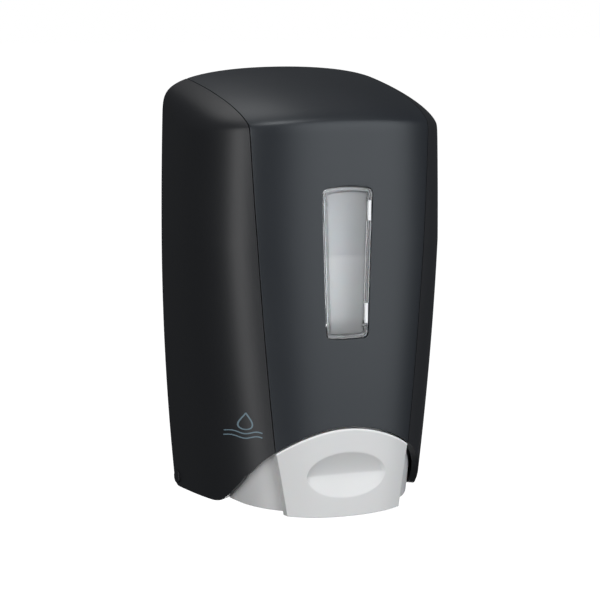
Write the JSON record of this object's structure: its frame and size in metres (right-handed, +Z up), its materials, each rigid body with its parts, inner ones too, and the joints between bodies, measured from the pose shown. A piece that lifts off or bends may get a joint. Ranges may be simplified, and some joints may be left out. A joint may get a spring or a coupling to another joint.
{
  "type": "wall mounted soap dispenser",
  "caption": "Wall mounted push-lever soap dispenser: hinged cover with a clear window over a bottle with a spring pump, on a screwed back plate.",
  "frame": {"origin": "centre of the four wall screw holes, on the rear face of the back plate", "axes": "+X right as seen from the front, -Y out of the wall towards the user, +Z up; the wall is the plane y = 0"},
  "size_m": [0.1274, 0.082, 0.2099],
  "materials": {
    "back_plate": "fine textured charcoal moulding",
    "steel": "bright zinc plated steel",
    "refill_cradle": "dark grey moulding",
    "bottle": "translucent white blow-moulded polyethylene",
    "pump_plastic": "white polypropylene",
    "seal_rubber": "dark soft seal",
    "spring_steel": "drawn spring wire",
    "valve_rubber": "soft silicone",
    "lock_plastic": "grey acetal",
    "cheek_plastic": "satin charcoal, very fine texture",
    "panel_plastic": "satin charcoal, very fine texture",
    "window_clear": "clear polycarbonate",
    "frame_plastic": "dark moulding",
    "lever_plastic": "light grey satin moulding",
    "pad_plastic": "light grey satin moulding",
    "fork_plastic": "grey acetal"
  },
  "bodies": {
    "wall_unit": {"back_plate": "back_plate", "hinge_pins": "steel", "refill_cradle": "refill_cradle", "cradle_screws": "steel", "refill_bottle": "bottle", "pump_collar": "pump_plastic", "neck_gasket": "seal_rubber", "pump_housing": "pump_plastic", "inlet_cage": "pump_plastic", "pump_spring": "spring_steel"},
    "valve_ball": {"inlet_ball": "steel"},
    "plunger": {"plunger_stem": "pump_plastic", "piston_seal": "seal_rubber", "nozzle": "pump_plastic", "outlet_valve": "valve_rubber"},
    "lock": {"lock_slider": "lock_plastic"},
    "cover": {"cover_shell": "cheek_plastic", "front_panel": "panel_plastic", "window": "window_clear", "cover_frame": "frame_plastic"},
    "push_lever": {"lever_body": "lever_plastic", "lever_pad": "pad_plastic", "lever_pins": "steel", "lift_fork": "fork_plastic", "fork_screws": "steel"}
  },
  "joints": [
    {"name": "cover_hinge", "type": "hinge", "parent": "wall_unit", "child": "cover", "pos_m": [0, -0.0052, -0.096], "axis": [1, 0, 0], "range_deg": [0, 78]},
    {"name": "lever_push", "type": "hinge", "parent": "cover", "child": "push_lever", "pos_m": [0, -0.056, -0.058], "axis": [1, 0, 0], "range_deg": [0, 18], "stiffness_Nm_per_rad": 0.45, "springref_deg": -18.91},
    {"name": "pump_travel", "type": "slide", "parent": "wall_unit", "child": "plunger", "axis": [0, 0, 1], "range_m": [0, 0.0069], "deforming": ["pump_spring"]},
    {"name": "ball_lift", "type": "slide", "parent": "wall_unit", "child": "valve_ball", "axis": [0, 0, 1], "range_m": [0, 0.0024]},
    {"name": "lock_travel", "type": "slide", "parent": "wall_unit", "child": "lock", "axis": [0, 0, 1], "range_m": [0, 0.0034]}
  ],
  "couplings": [
    {"joint": "pump_travel", "follows": "lever_push", "m_per_rad": 0.02187}
  ]
}
